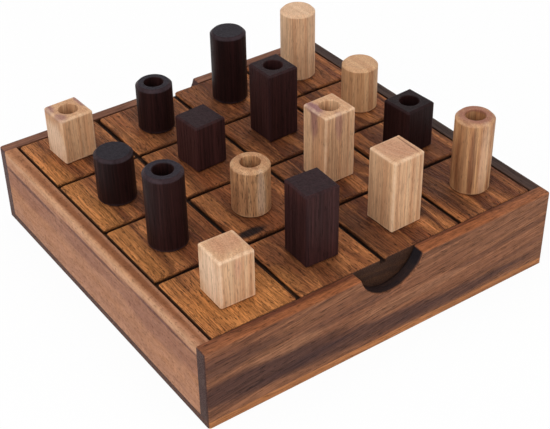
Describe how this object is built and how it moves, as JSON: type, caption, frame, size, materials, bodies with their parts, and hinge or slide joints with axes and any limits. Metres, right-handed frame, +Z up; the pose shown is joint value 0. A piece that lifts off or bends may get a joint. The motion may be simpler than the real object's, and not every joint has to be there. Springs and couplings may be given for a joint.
{
  "type": "four-in-a-row board game",
  "caption": "Square wooden tray with a loose grooved playing board let into it and loose light and dark, square and round pieces standing on its squares.",
  "frame": {"origin": "middle of the tray's underside", "axes": "+X right along the front wall, +Y from the front wall to the back wall, +Z up"},
  "size_m": [0.1816, 0.1806, 0.0765],
  "materials": {
    "tray_wood": "oiled",
    "block_wood": "raw",
    "board_wood": "oiled",
    "light_wood": "oiled",
    "dark_wood": "stained, oiled"
  },
  "bodies": {
    "tray": {"base_board": "tray_wood", "front_wall": "tray_wood", "back_wall": "tray_wood", "left_wall": "tray_wood", "right_wall": "tray_wood", "corner_block_front_left": "block_wood", "corner_block_front_right": "block_wood", "corner_block_back_left": "block_wood", "corner_block_back_right": "block_wood"},
    "board": {"playing_board": "board_wood"},
    "dark_round_hole_short": {"piece_dark_round_hole_short": "dark_wood"},
    "dark_round_hole_tall": {"piece_dark_round_hole_tall": "dark_wood"},
    "dark_round_solid_short": {"piece_dark_round_solid_short": "dark_wood"},
    "dark_round_solid_tall": {"piece_dark_round_solid_tall": "dark_wood"},
    "dark_square_hole_short": {"piece_dark_square_hole_short": "dark_wood"},
    "dark_square_hole_tall": {"piece_dark_square_hole_tall": "dark_wood"},
    "dark_square_solid_short": {"piece_dark_square_solid_short": "dark_wood"},
    "dark_square_solid_tall": {"piece_dark_square_solid_tall": "dark_wood"},
    "light_round_hole_short": {"piece_light_round_hole_short": "light_wood"},
    "light_round_hole_tall": {"piece_light_round_hole_tall": "light_wood"},
    "light_round_solid_short": {"piece_light_round_solid_short": "light_wood"},
    "light_round_solid_tall": {"piece_light_round_solid_tall": "light_wood"},
    "light_square_hole_short": {"piece_light_square_hole_short": "light_wood"},
    "light_square_hole_tall": {"piece_light_square_hole_tall": "light_wood"},
    "light_square_solid_short": {"piece_light_square_solid_short": "light_wood"},
    "light_square_solid_tall": {"piece_light_square_solid_tall": "light_wood"}
  },
  "joints": [
    {"name": "board_lift", "type": "slide", "parent": "tray", "child": "board", "axis": [0, 0, 1], "range_m": [0, 0.06]},
    {"name": "dark_round_hole_short_lift", "type": "slide", "parent": "board", "child": "dark_round_hole_short", "axis": [0, 0, 1], "range_m": [0, 0.06]},
    {"name": "dark_round_hole_tall_lift", "type": "slide", "parent": "board", "child": "dark_round_hole_tall", "axis": [0, 0, 1], "range_m": [0, 0.06]},
    {"name": "dark_round_solid_short_lift", "type": "slide", "parent": "board", "child": "dark_round_solid_short", "axis": [0, 0, 1], "range_m": [0, 0.06]},
    {"name": "dark_round_solid_tall_lift", "type": "slide", "parent": "board", "child": "dark_round_solid_tall", "axis": [0, 0, 1], "range_m": [0, 0.06]},
    {"name": "dark_square_hole_short_lift", "type": "slide", "parent": "board", "child": "dark_square_hole_short", "axis": [0, 0, 1], "range_m": [0, 0.06]},
    {"name": "dark_square_hole_tall_lift", "type": "slide", "parent": "board", "child": "dark_square_hole_tall", "axis": [0, 0, 1], "range_m": [0, 0.06]},
    {"name": "dark_square_solid_short_lift", "type": "slide", "parent": "board", "child": "dark_square_solid_short", "axis": [0, 0, 1], "range_m": [0, 0.06]},
    {"name": "dark_square_solid_tall_lift", "type": "slide", "parent": "board", "child": "dark_square_solid_tall", "axis": [0, 0, 1], "range_m": [0, 0.06]},
    {"name": "light_round_hole_short_lift", "type": "slide", "parent": "board", "child": "light_round_hole_short", "axis": [0, 0, 1], "range_m": [0, 0.06]},
    {"name": "light_round_hole_tall_lift", "type": "slide", "parent": "board", "child": "light_round_hole_tall", "axis": [0, 0, 1], "range_m": [0, 0.06]},
    {"name": "light_round_solid_short_lift", "type": "slide", "parent": "board", "child": "light_round_solid_short", "axis": [0, 0, 1], "range_m": [0, 0.06]},
    {"name": "light_round_solid_tall_lift", "type": "slide", "parent": "board", "child": "light_round_solid_tall", "axis": [0, 0, 1], "range_m": [0, 0.06]},
    {"name": "light_square_hole_short_lift", "type": "slide", "parent": "board", "child": "light_square_hole_short", "axis": [0, 0, 1], "range_m": [0, 0.06]},
    {"name": "light_square_hole_tall_lift", "type": "slide", "parent": "board", "child": "light_square_hole_tall", "axis": [0, 0, 1], "range_m": [0, 0.06]},
    {"name": "light_square_solid_short_lift", "type": "slide", "parent": "board", "child": "light_square_solid_short", "axis": [0, 0, 1], "range_m": [0, 0.06]},
    {"name": "light_square_solid_tall_lift", "type": "slide", "parent": "board", "child": "light_square_solid_tall", "axis": [0, 0, 1], "range_m": [0, 0.06]}
  ]
}
